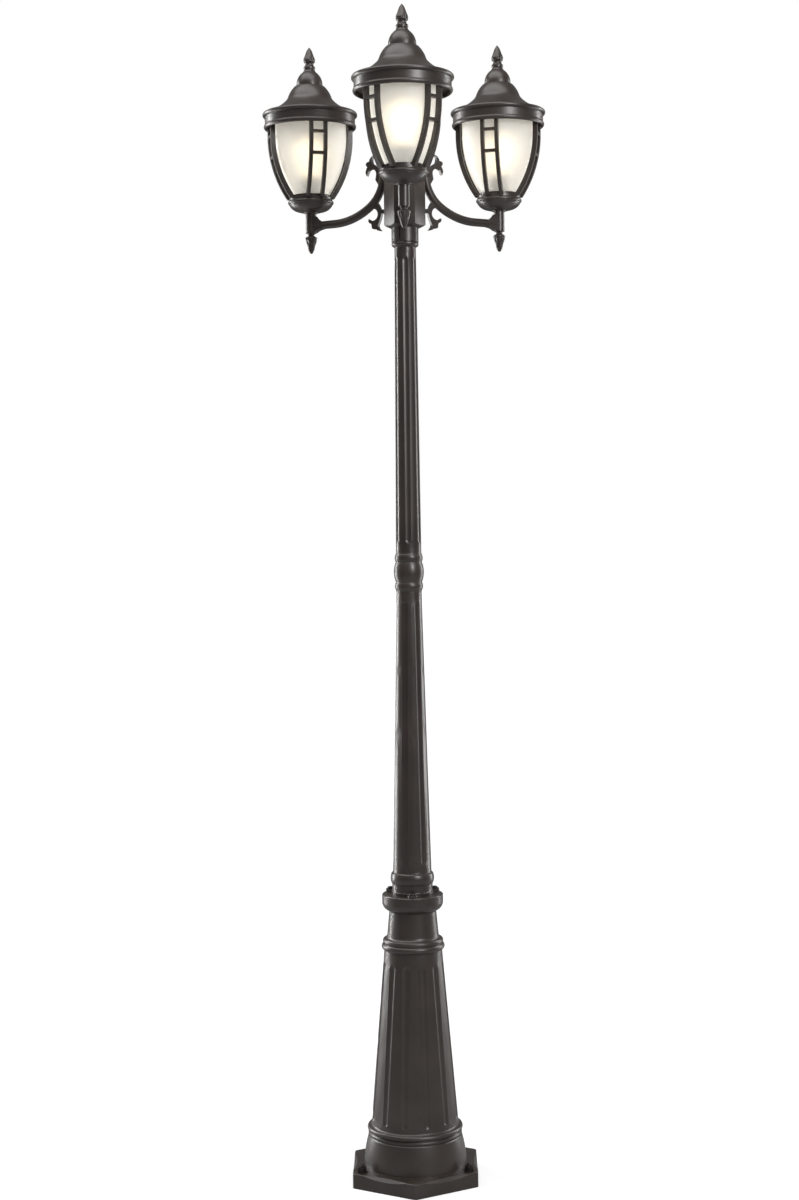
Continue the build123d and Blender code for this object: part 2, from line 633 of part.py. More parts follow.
def arm_path():
    """Centreline from the stem to the hub: level run, long sweep, shoulder to upright."""
    turn = math.radians(ARM_SWEEP_TURN)
    back = ARM_SWEEP_R * math.sin(turn) + ARM_SHOULDER_R * (1 - math.sin(turn))
    run = Line((ARM_REACH, 0), (ARM_UPRIGHT_R + back, 0))
    sweep_arc = JernArc(run @ 1, (-1, 0), ARM_SWEEP_R, -ARM_SWEEP_TURN)
    shoulder = JernArc(sweep_arc @ 1, sweep_arc % 1, ARM_SHOULDER_R, ARM_SWEEP_TURN - 90)
    return Plane.XZ * Wire([run, sweep_arc, shoulder])


def upper_scroll():
    """C-scroll above the elbow, with an upright leaf, a bud and a hooked leaf."""
    return face_xz(
        (46.0, 80.0),
        (54.6, 97.5),
        (69.2, 108.4, -1.2),
        (71.2, 116.0, 0.5),
        (65.4, 125.0, 1.8),
        (77.1, 113.4, -2.6),
        (83.5, 111.2, -0.8),
        (81.0, 103.8, -1.8),
        (85.1, 93.0, -0.5),
        (82.7, 86.2),
        (78.3, 95.8),
        (61.1, 89.5, 5.6),
        (63.0, 77.0, 0.3),
        (56.0, 66.0),
    )


def lower_scroll():
    """C-scroll under the arm, with a stub to the hub, two leaves and a bud."""
    return face_xz(
        (86.0, 24.0),
        (62.8, 35.0),
        (52.7, 18.2, 1.5),
        (HUB_FLAT_R, 18.2),
        (HUB_FLAT_R, 10.8),
        (50.6, 10.8),
        (59.0, -12.0, 0.8),
        (52.2, -22.2, -1.3),
        (60.7, -20.6, 0.9),
        (64.0, -16.5),
        (72.5, -15.4, 2.2),
        (73.9, -7.4, -0.6),
        (79.8, -2.9, 0.8),
        (79.3, 2.3, 0.4),
        (75.0, -1.0),
        (76.8, 20.3, -17.4),
    )


def arm(azimuth):
    path = arm_path()
    tube = sweep(Plane(origin=path @ 0, z_dir=path % 0) * Circle(ARM_R), path)
    for scroll in (upper_scroll(), lower_scroll()):
        tube += extrude(scroll, SCROLL_THICKNESS / 2, both=True)
    web_r = ARM_REACH - STEM_R + 3
    web = face_xz(
        (web_r, -STEM_BELOW + 1),
        (web_r, STEM_ABOVE - 6),
        (web_r - 3, STEM_ABOVE - 6),
        (web_r - WEB_REACH, ARM_R - 0.4, -2.5),
        (web_r - WEB_REACH, -ARM_R + 0.4),
        (web_r - 3, -STEM_BELOW + 1, -1.5),
    )
    tube += extrude(web, WEB_THICKNESS / 2, both=True)
    end = ARM_END_Z - ARM_RUN_Z
    thickness, width, height = FLANGE_SIZE
    flange = Box(thickness, width, height)
    flange = fillet(flange.edges().filter_by(Axis.X), 4)
    tube += Pos(HUB_FLAT_R + thickness / 2, 0, end) * flange
    entry = ARM_UPRIGHT_R - HUB_FLAT_R
    middle = Pos(HUB_FLAT_R + entry / 2, 0, end) * Rot(0, 90, 0)
    tube += middle * Cylinder(ARM_R, entry)
    top = rod(ARM_R, (path @ 1).Z - 1, end + ARM_TOP_RISE)
    tube += Pos(ARM_UPRIGHT_R, 0, 0) * fillet(top.faces().sort_by(Axis.Z)[-1].edges(), 2.5)
    tube += Pos(ARM_REACH, 0, 0) * rod(STEM_R, -STEM_BELOW, STEM_ABOVE)
    tube -= sweep(Plane(origin=path @ 0, z_dir=path % 0) * Circle(ARM_BORE_R), path)
    tube -= middle * Cylinder(ARM_BORE_R, entry + 1)
    tube -= Pos(ARM_REACH, 0, 0) * rod(NIPPLE_R + RUNNING_GAP, -STEM_BELOW - 1, STEM_ABOVE + 1)
    for height in arm_screw_heights():
        hole = Rot(0, 90, 0) * Cylinder(ARM_SCREW_R + SCREW_GAP, 2 * thickness + 2)
        tube -= Pos(HUB_FLAT_R, 0, height - ARM_RUN_Z) * hole
    return around(azimuth, tube, 0, ARM_RUN_Z)


# ---- lantern, drawn on the axis and moved out to the arm's reach

def leaf_grooves(foot, top, radius):
    """Shallow grooves that part a finial's leaves."""
    low = Vector(foot[0], 0, foot[1])
    high = Vector(top[0], 0, top[1])
    groove = Plane(origin=(low + high) / 2, z_dir=high - low) * Cylinder(
        radius, (high - low).length)
    return [Rot(0, 0, 360 / FINIAL_LEAVES * i) * groove for i in range(FINIAL_LEAVES)]


def drop_finial():
    top = STEM_FOOT_Z
    tip = top - DROP_FINIAL_LENGTH
    bud = turned(
        (0, tip),
        (3.0, tip),
        (5.2, tip + 5.5, 0.8),
        (DROP_FINIAL_R - 2, top - 15),
        (DROP_FINIAL_R, top - 9.5, 0.2),
        (DROP_FINIAL_R - 1.5, top - 7),
        (DROP_NECK_R, top - 5, -0.4),
        (DROP_NECK_R, top - 2.5),
        (DROP_NECK_R + 2.2, top, -0.4),
        (0, top),
    )
    bud -= leaf_grooves((5.6, tip + 2), (DROP_FINIAL_R + 0.6, top - 8), 1.1)
    return bud - rod(NIPPLE_R + SCREW_GAP, top - NIPPLE_IN_FINIAL - 1, top + 1)


def nipple():
    low = STEM_FOOT_Z - NIPPLE_IN_FINIAL
    tube = rod(NIPPLE_R, low, HOLDER_Z + 7)
    return tube - rod(NIPPLE_BORE_R, low - 1, HOLDER_Z + 8)


def nipple_nut():
    top = CUP_FLOOR_Z + NIPPLE_NUT_HEIGHT
    nut = hexagon(NIPPLE_NUT_FLATS / 2, CUP_FLOOR_Z, top)
    return nut - rod(NIPPLE_R + SCREW_GAP, CUP_FLOOR_Z - 1, top + 1)


def cup():
    seat_z = BRIM_Z + 1
    ring_in = CUP_RING_R - CUP_RING_WALL
    shell = turned(
        (NIPPLE_R + RUNNING_GAP, STEM_TOP_Z),
        (CUP_FOOT_R, STEM_TOP_Z),
        (CUP_FOOT_R + 1, STEM_TOP_Z + 1.5),
        (CUP_FOOT_R + 10, STEM_TOP_Z + 3.5, 0.6),
        (CUP_BRIM_R - 2, BRIM_Z, 3.2),
        (CUP_BRIM_R - 2, BRIM_Z + 0.5),
        (CUP_BRIM_R - 2, BRIM_TOP_Z - 0.5, 2.2),
        (CUP_BRIM_R - 2.5, BRIM_TOP_Z),
        (CUP_RING_R, BRIM_TOP_Z),
        (CUP_RING_R, BRIM_TOP_Z + CUP_RING_HEIGHT),
        (ring_in, BRIM_TOP_Z + CUP_RING_HEIGHT),
        (ring_in, seat_z),
        (ring_in - 4.5, seat_z),
        (ring_in - 8, CUP_FLOOR_Z + 3, -1.0),
        (ring_in - 12, CUP_FLOOR_Z),
        (NIPPLE_R + RUNNING_GAP, CUP_FLOOR_Z),
    )
    return shell


def rib_arc_r(depth, height):
    """Distance from the lantern's axis to the ribs' curve, set in by depth."""
    drop = max(CAGE_BEND_Z - height, 0)
    return RIB_ARC_CENTRE_R + math.sqrt((RIB_ARC_R - depth) ** 2 - drop ** 2)


def arc_bow(radius, low, high):
    """Bulge of an arc of this radius between two points."""
    chord = math.dist(low, high)
    return radius - math.sqrt(radius ** 2 - chord ** 2 / 4)


def cage():
    """Four pairs of curved ribs with crossbars, between a foot ring and a top ring."""
    foot_z = BRIM_TOP_Z + CAGE_RING_HEIGHT / 2
    outer_foot = (rib_arc_r(0, foot_z), foot_z)
    inner_foot = (rib_arc_r(RIB_DEPTH, foot_z), foot_z)
    outer_bend = (CAGE_TOP_R, CAGE_BEND_Z)
    inner_bend = (CAGE_TOP_R - RIB_DEPTH, CAGE_BEND_Z)
    top_z = CAGE_TOP_Z - CAGE_RING_HEIGHT / 2
    rib = face_xz(
        (*outer_bend, arc_bow(RIB_ARC_R, outer_foot, outer_bend)),
        (CAGE_TOP_R, top_z),
        (CAGE_TOP_R - RIB_DEPTH, top_z),
        inner_bend,
        (*inner_foot, -arc_bow(RIB_ARC_R - RIB_DEPTH, inner_foot, inner_bend)),
        outer_foot,
    )
    pair = extrude(rib, RIB_PAIR_WIDTH / 2, both=True)
    bars = sorted(CAGE_TOP_Z - drop for drop in BAR_DROPS)
    levels = [BRIM_Z] + [z + side * BAR_HEIGHT / 2 for z in bars for side in (-1, 1)]
    levels.append(CAGE_TOP_Z)
    for low, high in zip(levels[::2], levels[1::2]):
        window = Box(2 * CAGE_TOP_R, RIB_PAIR_WIDTH - 2 * RIB_WIDTH, high - low)
        pair -= Pos(CAGE_TOP_R, 0, (low + high) / 2) * window
    ring_in = CUP_RING_R + RUNNING_GAP
    frame = rod(CUP_BRIM_R - 2.5, BRIM_TOP_Z, BRIM_TOP_Z + CAGE_RING_HEIGHT)
    frame += rod(CAGE_TOP_R + 1.2, CAGE_TOP_Z - CAGE_RING_HEIGHT, CAGE_TOP_Z)
    for i in range(RIB_PAIRS):
        frame += Rot(0, 0, 45 + 360 / RIB_PAIRS * i) * pair
    frame -= rod(ring_in, BRIM_Z, BRIM_TOP_Z + CUP_RING_HEIGHT + 1)
    frame -= rod(CAGE_TOP_R - RIB_DEPTH, CAGE_TOP_Z - CAGE_RING_HEIGHT - 1, CAGE_TOP_Z + 1)
    return frame


def glass_seal():
    seat_z = BRIM_Z + 1
    ring = rod(GLASS_FOOT_R, seat_z, seat_z + SEAL_HEIGHT)
    return ring - rod(GLASS_FOOT_R - GLASS_WALL - 1, seat_z - 1, seat_z + SEAL_HEIGHT + 1)


def glass():
    """Frosted bowl that follows the inside of the ribs."""
    set_in = RIB_DEPTH + GLASS_GAP
    low = BRIM_Z + 1 + SEAL_HEIGHT
    ring_top = BRIM_TOP_Z + CUP_RING_HEIGHT + RUNNING_GAP
    foot_z = ring_top + 3
    top_z = CAGE_TOP_Z - GLASS_TOP_DROP
    outer_foot = (rib_arc_r(set_in, foot_z), foot_z)
    inner_foot = (rib_arc_r(set_in + GLASS_WALL, foot_z), foot_z)
    outer_bend = (CAGE_TOP_R - set_in, CAGE_BEND_Z)
    inner_bend = (CAGE_TOP_R - set_in - GLASS_WALL, CAGE_BEND_Z)
    bow = arc_bow(RIB_ARC_R - set_in, outer_foot, outer_bend)
    inner_bow = arc_bow(RIB_ARC_R - set_in - GLASS_WALL, inner_foot, inner_bend)
    return turned(
        (GLASS_FOOT_R - GLASS_WALL, low),
        (GLASS_FOOT_R, low),
        (GLASS_FOOT_R, ring_top),
        outer_foot,
        (*outer_bend, bow),
        (outer_bend[0], top_z),
        (inner_bend[0], top_z),
        inner_bend,
        (*inner_foot, -inner_bow),
        (GLASS_FOOT_R - GLASS_WALL, ring_top),
    )


def lamp_holder():
    body = turned(
        (0, HOLDER_Z),
        (HOLDER_R - 6, HOLDER_Z),
        (HOLDER_R - 4, HOLDER_Z + 8),
        (HOLDER_R - 1, HOLDER_Z + 12, -1.0),
        (HOLDER_R - 1, HOLDER_TOP_Z - 16),
        (HOLDER_R, HOLDER_TOP_Z - 15),
        (HOLDER_R, HOLDER_TOP_Z - 1),
        (HOLDER_R - 1, HOLDER_TOP_Z),
        (0, HOLDER_TOP_Z),
    )
    body -= rod(LAMP_CAP_R + SCREW_GAP, LAMP_Z, HOLDER_TOP_Z + 1)
    return body - rod(NIPPLE_R + SCREW_GAP, HOLDER_Z - 1, HOLDER_Z + 8)


def bulb_cap():
    top = LAMP_Z + LAMP_CAP_LENGTH
    cap = turned(
        (0, LAMP_Z),
        (4.5, LAMP_Z),
        (LAMP_CAP_R, LAMP_Z + 4.5, 1.0),
        (LAMP_CAP_R, top),
        (LAMP_CAP_R - 1, top),
        (LAMP_CAP_R - 1, LAMP_Z + 6),
        (0, LAMP_Z + 6),
    )
    return cap


def bulb():
    foot = LAMP_Z + LAMP_CAP_LENGTH
    centre = LAMP_Z + LAMP_LENGTH - GLOBE_R
    waist_z = centre - GLOBE_R * math.sin(math.radians(20))
    waist_r = GLOBE_R * math.cos(math.radians(20))
    inner_r = GLOBE_R - GLOBE_WALL
    inner_waist_r = inner_r * math.cos(math.radians(20))
    inner_waist_z = centre - inner_r * math.sin(math.radians(20))
    outer_bow = arc_bow(GLOBE_R, (waist_r, waist_z), (0, centre + GLOBE_R))
    inner_bow = arc_bow(inner_r, (inner_waist_r, inner_waist_z), (0, centre + inner_r))
    return turned(
        (LAMP_CAP_R + 0.5 - GLOBE_WALL, foot),
        (LAMP_CAP_R + 0.5, foot),
        (LAMP_CAP_R + 1.5, foot + 4),
        (waist_r, waist_z, -1.0),
        (0, centre + GLOBE_R, outer_bow),
        (0, centre + inner_r),
        (inner_waist_r, inner_waist_z, -inner_bow),
        (LAMP_CAP_R + 1.5 - GLOBE_WALL, foot + 4, 1.0),
    )


# ---- roof

def roof():
    """Bell-shaped roof: two beads round the rim, a flare, a shoulder, a step and a dome."""
    rim = ROOF_RIM_Z
    ledge = CAGE_TOP_Z
    shell = turned(
        (ROOF_BAND_R - ROOF_WALL, rim),
        (ROOF_BAND_R - 0.6, rim),
        (ROOF_BAND_R, rim + 9, ROOF_LOW_BEAD_BOW),
        (ROOF_BAND_R, rim + 23),
        (ROOF_BAND_R + 0.6, rim + 23.5),
        (ROOF_BAND_R + 0.6, rim + 32.5, ROOF_HIGH_BEAD_BOW),
        (ROOF_FLARE_R, rim + 53.5, -3.2),
        (ROOF_SHOULDER_R, rim + 61.5, -0.5),
        (ROOF_NECK_R + 0.5, rim + 84, 1.6),
        (ROOF_NECK_R - 1.2, rim + 85),
        (ROOF_DOME_R + 0.2, rim + 85.2),
        (ROOF_DOME_R, rim + 89),
        (ROOF_CROWN_R, ROOF_TOP_Z, 3.0),
        (STUD_R + SCREW_GAP, ROOF_TOP_Z),
        (STUD_R + SCREW_GAP, CROWN_SEAT_Z),
        (ROOF_CROWN_R - 3, CROWN_SEAT_Z),
        (ROOF_DOME_R - 3.2, rim + 88, -2.5),
        (ROOF_NECK_R - 4.5, rim + 80),
        (ROOF_SHOULDER_R - 3.8, rim + 60, -1.4),
        (ROOF_FLARE_R - 4.5, rim + 51.5),
        (ROOF_LEDGE_R, rim + 32.5, 2.2),
        (ROOF_LEDGE_R, ledge),
        (ROOF_BAND_R - ROOF_WALL, ledge),
    )
    boss = rod(ROOF_SCREW_HEAD_R + 1, rim + ROOF_SCREW_SEAT - 8, rim + ROOF_SCREW_SEAT)
    hole = rod(ROOF_SCREW_R + SCREW_GAP, rim + 40, rim + 70)
    return shell + Pos(ROOF_SCREW_CIRCLE_R, 0, 0) * boss - Pos(ROOF_SCREW_CIRCLE_R, 0, 0) * hole


def roof_screw():
    seat = ROOF_RIM_Z + ROOF_SCREW_SEAT
    screw = rod(ROOF_SCREW_R, seat - 12, seat + 1)
    knob = rod(ROOF_SCREW_HEAD_R, seat, seat + ROOF_SCREW_HEAD_HEIGHT)
    knob = fillet(knob.faces().sort_by(Axis.Z)[-1].edges(), 1.4)
    return Pos(ROOF_SCREW_CIRCLE_R, 0, 0) * (screw + knob)


def roof_finial():
    low = ROOF_TOP_Z
    tip = low + SPEAR_HEIGHT
    spear = turned(
        (0, low),
        (ROOF_CROWN_R - 1, low),
        (SPEAR_R - 0.6, low + 5, -0.6),
        (SPEAR_R, low + 7),
        (SPEAR_R, low + 11.5, 0.4),
        (SPEAR_R - 3, low + 13.5, -0.4),
        (SPEAR_R - 3, low + 17.5),
        (SPEAR_R, low + 22.5, -0.4),
        (SPEAR_R - 0.4, low + 25, 0.3),
        (SPEAR_R - 3.6, low + 36, 0.3),
        (3.2, tip - 3.2),
        (1.2, tip),
        (0, tip),
    )
    spear -= leaf_grooves((SPEAR_R + 0.7, low + 21), (4.0, tip - 3), 1.1)
    return spear + rod(STUD_R, low - STUD_LENGTH, low)


def finial_nut():
    low = CROWN_SEAT_Z - FINIAL_NUT_HEIGHT
    nut = hexagon(FINIAL_NUT_FLATS / 2, low, CROWN_SEAT_Z)
    return nut - rod(STUD_R + SCREW_GAP, low - 1, CROWN_SEAT_Z + 1)


# ---- every piece

write("base_casting", base_casting())
write("anchor_washers", *[anchor_washer(azimuth) for azimuth in ANCHOR_AZIMUTHS])
write("anchor_nuts", *[anchor_nut(azimuth) for azimuth in ANCHOR_AZIMUTHS])
write("lower_post", lower_post())
write("collar_screws", *[collar_screw(azimuth) for azimuth in EAR_AZIMUTHS])
write("mid_coupler", mid_coupler())
write("upper_post", upper_post())
write("arm_hub", arm_hub())
write("hub_grub_screw", hub_grub_screw())
write("hub_cap", hub_cap())
write("terminal_block", terminal_block())
write("arm_screws", *arm_screws())

LANTERN_PIECES = {
    "drop_finial": drop_finial,
    "nipple": nipple,
    "nipple_nut": nipple_nut,
    "cup": cup,
    "cage": cage,
    "glass_seal": glass_seal,
    "glass": glass,
    "lamp_holder": lamp_holder,
    "bulb_cap": bulb_cap,
    "bulb": bulb,
    "roof": roof,
    "roof_screw": roof_screw,
    "roof_finial": roof_finial,
    "finial_nut": finial_nut,
}

for piece, make in LANTERN_PIECES.items():
    shape = make()
    for side, azimuth in ARM_AZIMUTHS.items():
        turned_about = Rot(0, 0, LANTERN_TURNS[side]) * shape
        write(f"{piece}_{side}", around(azimuth, turned_about, ARM_REACH))

for side, azimuth in ARM_AZIMUTHS.items():
    write(f"arm_{side}", arm(azimuth))
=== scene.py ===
# %% [markdown]
# # A lamp post with three lanterns
# The post is real cast and turned aluminium under a satin powder coat, with frosted
# glass bowls round warm lamps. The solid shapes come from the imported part, so this
# lesson gives them their finishes, adds the leaves on the finials and the threaded ends
# of the anchor studs, and lights the whole as a studio would.

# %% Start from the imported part
import math

import bpy
import numpy as np
from mathutils import Matrix, Vector


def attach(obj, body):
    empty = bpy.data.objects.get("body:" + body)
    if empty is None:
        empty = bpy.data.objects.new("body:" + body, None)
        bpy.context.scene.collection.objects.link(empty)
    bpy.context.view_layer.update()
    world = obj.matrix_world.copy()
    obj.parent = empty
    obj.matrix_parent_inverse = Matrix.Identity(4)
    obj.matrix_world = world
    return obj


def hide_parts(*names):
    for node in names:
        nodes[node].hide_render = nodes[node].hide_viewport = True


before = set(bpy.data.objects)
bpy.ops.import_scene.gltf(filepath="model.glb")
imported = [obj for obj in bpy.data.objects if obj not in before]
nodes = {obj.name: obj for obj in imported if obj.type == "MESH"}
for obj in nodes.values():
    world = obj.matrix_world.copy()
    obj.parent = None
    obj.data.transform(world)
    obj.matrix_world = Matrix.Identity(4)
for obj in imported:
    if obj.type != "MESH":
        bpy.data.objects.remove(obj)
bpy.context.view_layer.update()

MM_PER_M = 1000

# %% [markdown]
# ## Names and places
# The post's axis is the Z axis. Each lantern stands 215 mm from it: one in front and
# two behind, a third of a turn apart.

# %% Where the lanterns stand
SIDES = {"front": 270, "right": 30, "left": 150}
REACH = 0.215
lantern_at = {
    side: (REACH * math.cos(math.radians(a)), REACH * math.sin(math.radians(a)))
    for side, a in SIDES.items()
}
print({side: (round(x, 4), round(y, 4)) for side, (x, y) in lantern_at.items()})

# %% [markdown]
# ## Colours
# A colour is picked as a paint card gives it, in sRGB hex. The shaders work with
# linear light, so one function turns the first into the second.

# %% Hex to linear light
def linear(hex_colour):
    """Linear RGBA of an sRGB hex colour, by the sRGB standard: each channel plus 0.055,
    over 1.055, to the power 2.4, and near black a straight line of slope 1 / 12.92."""
    s = np.array([int(hex_colour[i:i + 2], 16) for i in (1, 3, 5)]) / 255
    rgb = np.where(s <= 0.04045, s / 12.92, ((s + 0.055) / 1.055) ** 2.4)
    return (*rgb.tolist(), 1.0)

print("the coat's dark tone in linear light:", [round(v, 4) for v in linear("#2f2722")[:3]])

# %% [markdown]
# ## One way to add a shader node
# A finish is a small graph. This function adds one node, sets its values and joins its
# inputs, so that each finish below reads as a list.

# %% Add a node
def add(tree, kind, settings=None, **inputs):
    """A node of this kind. settings are its properties; inputs are its sockets by name,
    where a value is set and a (node, output) pair is joined."""
    node = tree.nodes.new("ShaderNode" + kind)
    for key, value in (settings or {}).items():
        setattr(node, key, value)
    for key, value in inputs.items():
        socket = node.inputs[key.replace("_", " ")]
        if isinstance(value, tuple) and isinstance(value[0], bpy.types.Node):
            tree.links.new(value[0].outputs[value[1]], socket)
        else:
            socket.default_value = value
    return node


def finish(name):
    """A new material, its node tree and its Principled shader."""
    material = bpy.data.materials.new(name)
    material.use_nodes = True
    tree = material.node_tree
    return material, tree, tree.nodes["Principled BSDF"]


def dress(material, *names):
    """Gives these nodes of the part this finish."""
    for name in names:
        mesh = nodes[name].data
        mesh.materials.clear()
        mesh.materials.append(material)

# %% [markdown]
# ## Powder-coated cast aluminium
# Polyester powder is sprayed on dry and baked. It melts into a skin about 80 microns
# thick with a faint orange peel, one ripple every millimetre or so, and on a sand
# casting the sand's own grain shows through it. A matte graphite bronze powder gives a
# dark body, a soft sheen and bright narrow lines along rounded edges. The Bevel node
# rounds the edges that the eye sees, as a casting's edges are never sharp.

# %% Powder coat
CLOUDS_PER_M = 14.0
CLOUD_EDGES = (0.35, 0.65)
GRAIN_GLOSS = (-0.05, 0.07)
GRAIN_BUMP = 0.5
COAT_METALLIC = 0.1
COAT_SPECULAR = 0.85
EDGE_SAMPLES = 4


def powder_coat(name, dark, light, roughness, grain_mm, grain_depth, edge_mm):
    """Satin powder coat: two close tones in soft clouds, grain at its real size and
    rounded edges."""
    material, tree, shader = finish(name)
    place = add(tree, "TexCoord")
    clouds = add(tree, "TexNoise", Vector=(place, "Object"), Scale=CLOUDS_PER_M,
                 Detail=4.0)
    tone = add(tree, "ValToRGB", Fac=(clouds, "Fac"))
    tone.color_ramp.elements[0].position = CLOUD_EDGES[0]
    tone.color_ramp.elements[0].color = linear(dark)
    tone.color_ramp.elements[1].position = CLOUD_EDGES[1]
    tone.color_ramp.elements[1].color = linear(light)
    grain = add(tree, "TexNoise", Vector=(place, "Object"), Scale=MM_PER_M / grain_mm,
                Detail=2.0)
    gloss = add(tree, "MapRange", Value=(grain, "Fac"), To_Min=roughness + GRAIN_GLOSS[0],
                To_Max=roughness + GRAIN_GLOSS[1])
    edge = add(tree, "Bevel", {"samples": EDGE_SAMPLES}, Radius=edge_mm / MM_PER_M)
    skin = add(tree, "Bump", Height=(grain, "Fac"), Normal=(edge, "Normal"),
               Strength=GRAIN_BUMP, Distance=grain_depth / MM_PER_M)
    tree.links.new(tone.outputs["Color"], shader.inputs["Base Color"])
    tree.links.new(gloss.outputs["Result"], shader.inputs["Roughness"])
    tree.links.new(skin.outputs["Normal"], shader.inputs["Normal"])
    shader.inputs["Metallic"].default_value = COAT_METALLIC
    shader.inputs["Specular IOR Level"].default_value = COAT_SPECULAR
    return material


cast_coat = powder_coat("powder_coated_sand_casting", "#2f2722", "#3a312c",
                        roughness=0.36, grain_mm=1.6, grain_depth=0.05, edge_mm=0.9)
tube_coat = powder_coat("powder_coated_drawn_tube", "#302824", "#3b322d",
                        roughness=0.33, grain_mm=1.4, grain_depth=0.015, edge_mm=0.6)
turned_coat = powder_coat("powder_coated_turning", "#302823", "#3b322d",
                          roughness=0.35, grain_mm=1.5, grain_depth=0.03, edge_mm=0.6)

dress(cast_coat, "base_casting", "arm_hub", "hub_cap")
dress(tube_coat, "lower_post", "upper_post")
dress(turned_coat, "mid_coupler")
for side in SIDES:
    dress(cast_coat, f"arm_{side}", f"drop_finial_{side}", f"cage_{side}",
          f"roof_finial_{side}")
    dress(turned_coat, f"cup_{side}", f"roof_{side}")
print("powder coat on", sum(o.data.materials[0] in (cast_coat, tube_coat, turned_coat)
                            for o in nodes.values()), "nodes")

# %% [markdown]
# ## Fasteners
# The nuts, washers and screws that show are steel with a dark coat, duller than the
# castings where a spanner has turned them. The hidden ones are bright zinc, which is
# thin, bluish and streaked by the bath.

# %% Dark steel and bright zinc
STEEL_GLOSS = 0.08
STEEL_BUMP = 0.3
STEEL_EDGE = 0.0004
STEEL_RELIEF = 0.00005


def steel(name, dark, light, metallic, roughness, cloud_mm):
    """Coated steel: clouds of two tones and a roughness that follows them."""
    material, tree, shader = finish(name)
    place = add(tree, "TexCoord")
    clouds = add(tree, "TexNoise", Vector=(place, "Object"), Scale=MM_PER_M / cloud_mm,
                 Detail=6.0)
    tone = add(tree, "MixRGB", Fac=(clouds, "Fac"), Color1=linear(dark),
               Color2=linear(light))
    gloss = add(tree, "MapRange", Value=(clouds, "Fac"), To_Min=roughness - STEEL_GLOSS,
                To_Max=roughness + STEEL_GLOSS)
    edge = add(tree, "Bevel", {"samples": EDGE_SAMPLES}, Radius=STEEL_EDGE)
    skin = add(tree, "Bump", Height=(clouds, "Fac"), Normal=(edge, "Normal"),
               Strength=STEEL_BUMP, Distance=STEEL_RELIEF)
    tree.links.new(tone.outputs["Color"], shader.inputs["Base Color"])
    tree.links.new(gloss.outputs["Result"], shader.inputs["Roughness"])
    tree.links.new(skin.outputs["Normal"], shader.inputs["Normal"])
    shader.inputs["Metallic"].default_value = metallic
    return material


dark_steel = steel("dark_coated_steel", "#2b2826", "#393431",
                   metallic=0.6, roughness=0.42, cloud_mm=3.0)
zinc = steel("bright_zinc_on_steel", "#a9adb0", "#c9ccce",
             metallic=1.0, roughness=0.32, cloud_mm=4.0)
dress(dark_steel, "anchor_nuts", "anchor_washers", "collar_screws")
dress(zinc, "hub_grub_screw", "arm_screws")
for side in SIDES:
    dress(dark_steel, f"roof_screw_{side}")
    dress(zinc, f"nipple_{side}", f"nipple_nut_{side}", f"finial_nut_{side}")
print("fasteners dressed")

# %% [markdown]
# ## Frosted glass
# Each bowl is blown clear glass, frosted inside and out by acid or sand, so it passes
# nearly all light but blurs it. The lamp shows as a soft sun, the holder as a grey
# cloud, and the rest takes the room's white. A rough surface that passes most of the
# light does that in every view. Light that has bounced about inside a bowl is slow to
# work out, so a faint glow of the glass's own stands for it.

# %% Frosted bowl
RIPPLES_PER_M = 40.0
RIPPLE_BUMP = 0.15
RIPPLE_DEPTH = 0.0004
FROST_ROUGHNESS = 0.5
GLASS_IOR = 1.5
GLASS_PASSES = 0.7
GLASS_GLOW = 0.13


def frosted_glass():
    """Rough clear glass with a cream tint, a faint ripple from blowing and a faint glow."""
    material, tree, shader = finish("frosted_blown_glass")
    place = add(tree, "TexCoord")
    ripple = add(tree, "TexNoise", Vector=(place, "Object"), Scale=RIPPLES_PER_M,
                 Detail=2.0)
    tone = add(tree, "MixRGB", Fac=(ripple, "Fac"), Color1=linear("#f3f2ee"),
               Color2=linear("#faf9f6"))
    skin = add(tree, "Bump", Height=(ripple, "Fac"), Strength=RIPPLE_BUMP,
               Distance=RIPPLE_DEPTH)
    tree.links.new(tone.outputs["Color"], shader.inputs["Base Color"])
    tree.links.new(skin.outputs["Normal"], shader.inputs["Normal"])
    shader.inputs["Roughness"].default_value = FROST_ROUGHNESS
    shader.inputs["IOR"].default_value = GLASS_IOR
    shader.inputs["Transmission Weight"].default_value = GLASS_PASSES
    shader.inputs["Emission Color"].default_value = linear("#fbf6ec")
    shader.inputs["Emission Strength"].default_value = GLASS_GLOW
    return material


bowl_glass = frosted_glass()
for side in SIDES:
    dress(bowl_glass, f"glass_{side}")
print("bowls dressed")

# %% [markdown]
# ## The lamps
# An opal globe glows evenly and warm, about 2700 kelvin, and its nickel-coloured screw
# cap is rolled sheet. The holder is black moulded thermoset.

# %% Lamp, cap, holder, seal and terminal block
MILK_PER_M = 30.0
LAMP_ROUGHNESS = 0.3
LAMP_GLOW = 1.9
MOULD_BUMP = 0.3
MOULD_DEPTH = 0.00004


def opal_globe():
    """Opal glass lit from inside: two close warm tones in slow milky clouds."""
    material, tree, shader = finish("opal_lamp_glass")
    place = add(tree, "TexCoord")
    milk = add(tree, "TexNoise", Vector=(place, "Object"), Scale=MILK_PER_M, Detail=2.0)
    tone = add(tree, "MixRGB", Fac=(milk, "Fac"), Color1=linear("#ffe8c0"),
               Color2=linear("#fff1d4"))
    tree.links.new(tone.outputs["Color"], shader.inputs["Base Color"])
    tree.links.new(tone.outputs["Color"], shader.inputs["Emission Color"])
    shader.inputs["Emission Strength"].default_value = LAMP_GLOW
    shader.inputs["Roughness"].default_value = LAMP_ROUGHNESS
    return material


